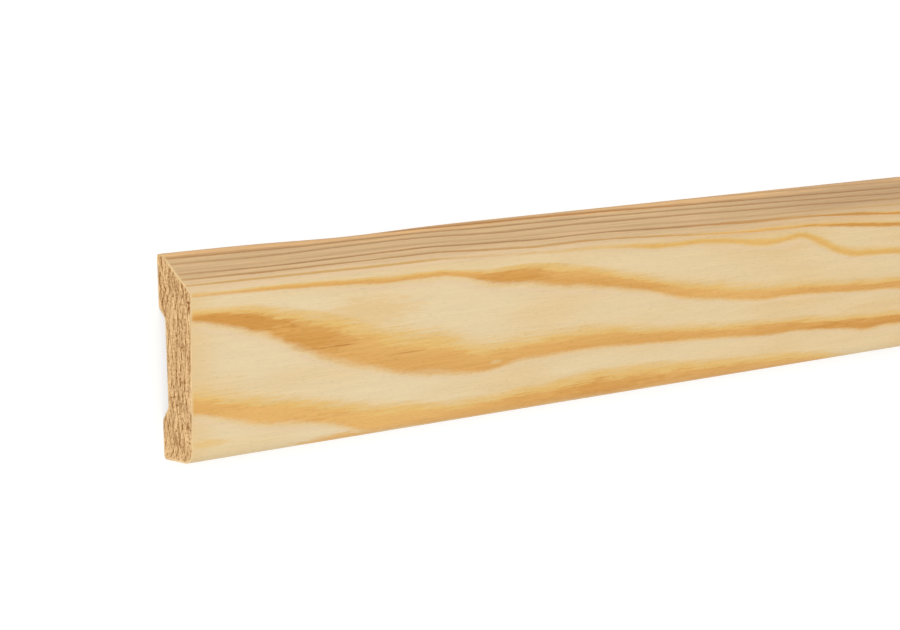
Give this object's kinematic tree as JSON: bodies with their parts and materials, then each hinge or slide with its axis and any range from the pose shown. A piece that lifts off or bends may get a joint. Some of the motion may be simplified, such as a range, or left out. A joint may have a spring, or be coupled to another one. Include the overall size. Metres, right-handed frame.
{
  "type": "architrave",
  "caption": "Length of planed softwood architrave with a bevelled outer edge and a backed-out face, for casing doors and windows.",
  "frame": {"origin": "middle of the back, on the plane of the two lands that seat on the wall", "axes": "+X along the length, +Y across the width towards the bevelled outer edge, +Z out of the front face"},
  "size_m": [2.2, 0.043, 0.012],
  "materials": {
    "pine": "planed, untreated"
  },
  "bodies": {
    "root": {"architrave": "pine"}
  },
  "joints": []
}
